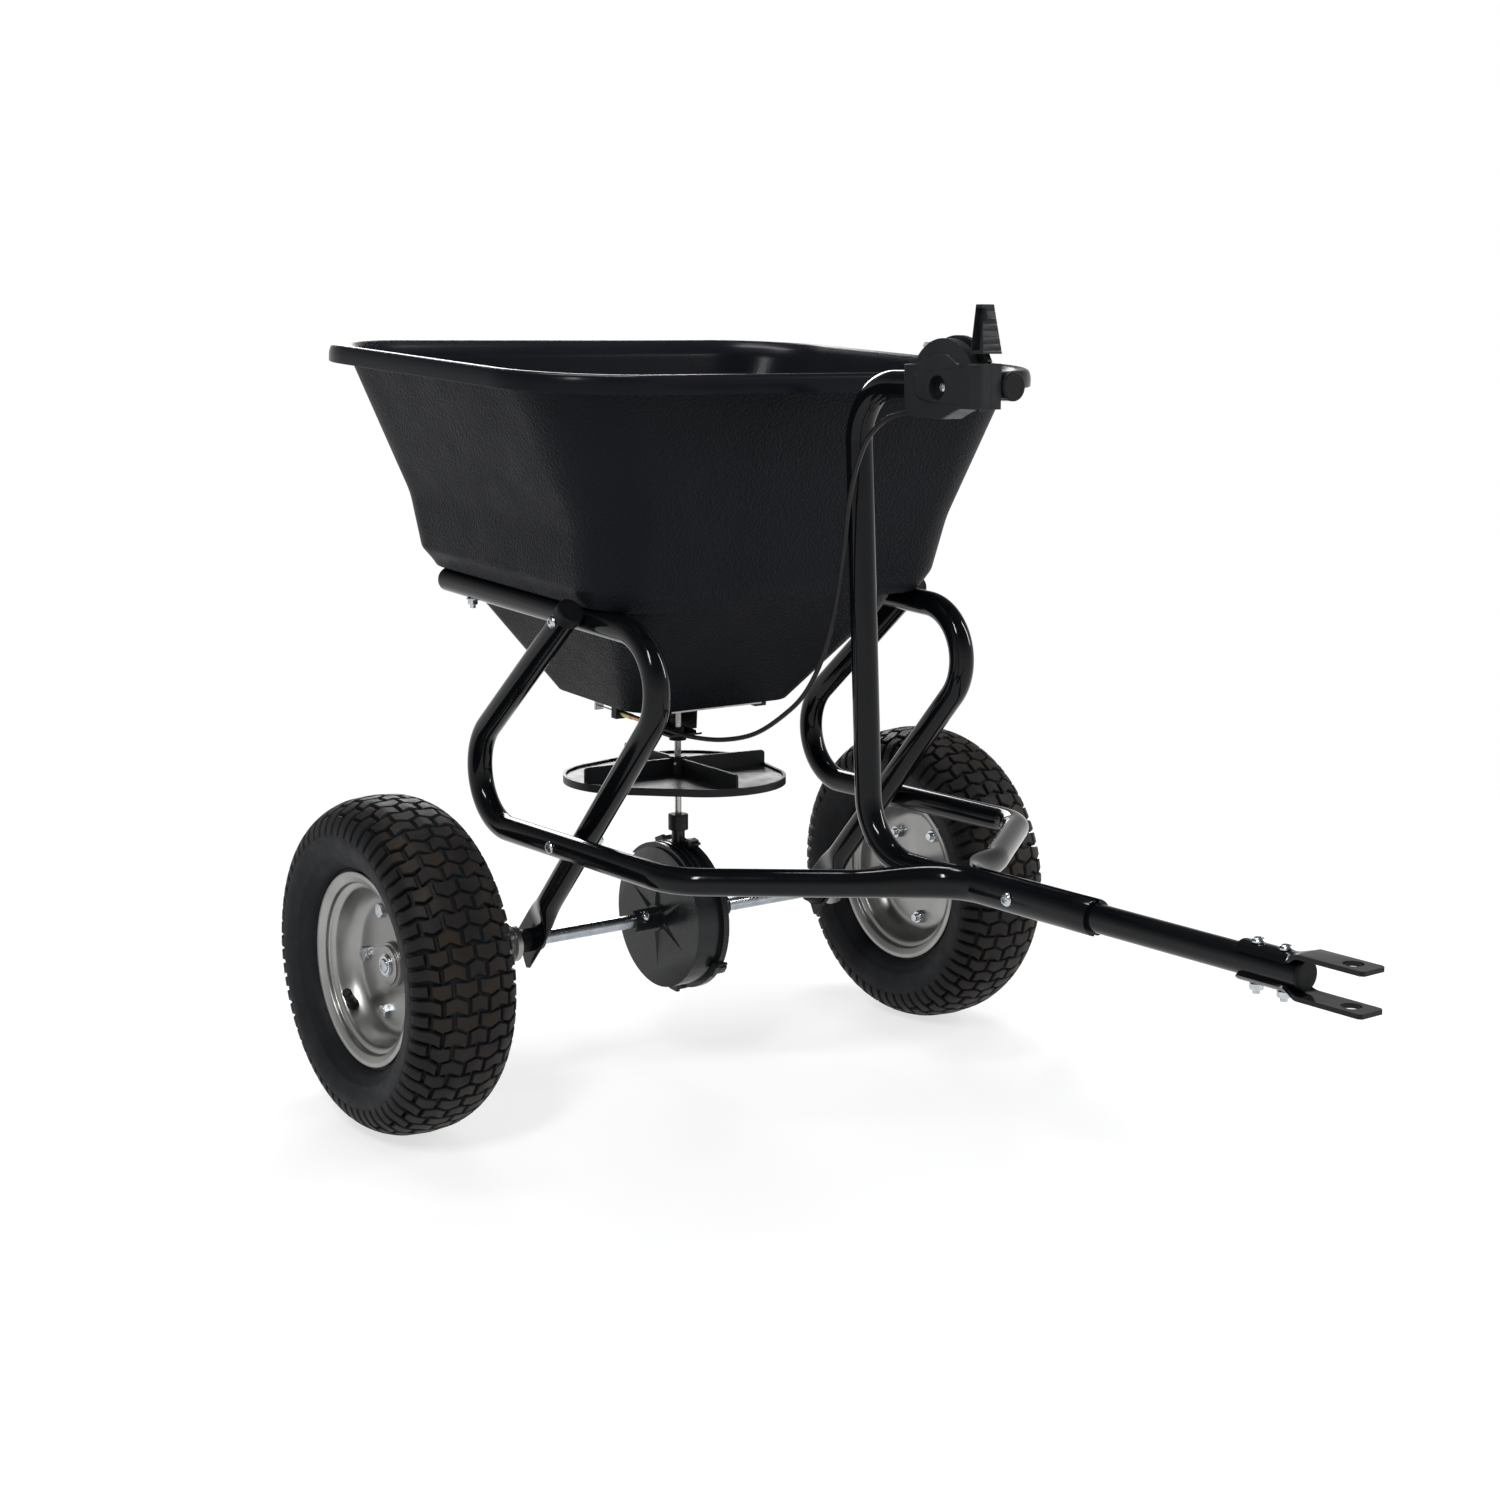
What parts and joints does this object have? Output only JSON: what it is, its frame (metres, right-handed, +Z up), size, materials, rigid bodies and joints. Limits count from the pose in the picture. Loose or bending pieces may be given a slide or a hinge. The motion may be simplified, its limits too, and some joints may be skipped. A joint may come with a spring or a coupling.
{
  "type": "tow-behind broadcast spreader",
  "caption": "Tow-behind broadcast spreader: plastic hopper on a bent-tube carriage with pneumatic wheels, axle-driven spreading disc, cable-operated gate lever and clevis hitch.",
  "frame": {"origin": "on the ground, at the middle of the whole length and width", "axes": "+X the right-hand side, -Y the way it is pulled, +Z up; the axle runs along X"},
  "size_m": [0.778, 1.1362, 0.7888],
  "materials": {
    "hopper_plastic": "fine leather-grain moulding, glossy rolled rim",
    "black_paint": "gloss powder coat",
    "black_plastic": "semi-gloss moulding",
    "zinc": "bright zinc plate",
    "steel": "drawn bar",
    "rim_steel": "silver pressed sheet",
    "tyre": "turf tread rubber",
    "rubber": "moulded rubber",
    "brass": "yellow passivated",
    "copper": "crimped ferrule"
  },
  "bodies": {
    "frame": {"hopper": "hopper_plastic", "hopper_bolts": "zinc", "leg_left": "black_paint", "leg_right": "black_paint", "frame_left": "black_paint", "frame_right": "black_paint", "tow_tube": "black_paint", "leg_plugs": "rubber", "frame_caps": "rubber", "tow_plugs": "rubber", "frame_bolts": "zinc", "shell_bolt": "zinc", "hitch_upper": "black_paint", "hitch_lower": "black_paint", "hitch_bolts": "zinc", "bushings": "rubber", "spacers": "rubber", "gearbox_left": "black_plastic", "gearbox_right": "black_plastic", "gate_rails": "black_paint", "shaft_bracket": "black_paint", "shaft_bushing": "rubber", "cable_clip": "black_plastic", "cable_barrel": "brass", "cable_ferrule": "copper", "control_cable": "rubber", "control_housing": "black_plastic", "control_base": "black_plastic", "control_clamp": "black_plastic", "control_screw": "zinc", "stop_bolt": "zinc"},
    "axle_set": {"axle": "steel", "axle_rings": "zinc", "drive_pin": "zinc", "hub_right": "rim_steel", "tyre_right": "tyre", "rim_right_outer": "rim_steel", "rim_right_inner": "rim_steel", "wheel_bolts_right": "zinc", "valve_right": "rubber", "crown_gear": "black_plastic", "gear_collars": "black_plastic", "collar_screws": "zinc"},
    "left_wheel": {"hub_left": "rim_steel", "tyre_left": "tyre", "rim_left_outer": "rim_steel", "rim_left_inner": "rim_steel", "wheel_bolts_left": "zinc", "valve_left": "rubber"},
    "impeller": {"shaft": "steel", "pinion": "black_plastic", "shaft_collar": "black_plastic", "disc": "black_plastic", "disc_pin": "steel", "agitator": "steel"},
    "gate_lever": {"lever": "black_plastic"},
    "gate_plate": {"gate": "steel", "gate_wire": "steel"}
  },
  "joints": [
    {"name": "axle_spin", "type": "hinge", "parent": "frame", "child": "axle_set", "pos_m": [0, 0.32792, 0.165], "axis": [1, 0, 0], "continuous": true},
    {"name": "left_wheel_spin", "type": "hinge", "parent": "frame", "child": "left_wheel", "pos_m": [0, 0.32792, 0.165], "axis": [1, 0, 0], "continuous": true},
    {"name": "impeller_spin", "type": "hinge", "parent": "frame", "child": "impeller", "pos_m": [0, 0.32792, 0.3], "axis": [0, 0, 1], "continuous": true},
    {"name": "lever_turn", "type": "hinge", "parent": "frame", "child": "gate_lever", "pos_m": [-0.021, -0.11308, 0.7196], "axis": [-1, 0, 0], "range_deg": [0, 80]},
    {"name": "gate_slide", "type": "slide", "parent": "frame", "child": "gate_plate", "axis": [0, -0.998, -0.0628], "range_m": [0, 0.028]}
  ],
  "couplings": [
    {"joint": "impeller_spin", "follows": "axle_spin", "ratio": 5.4},
    {"joint": "gate_slide", "follows": "lever_turn", "m_per_rad": 0.02005}
  ]
}
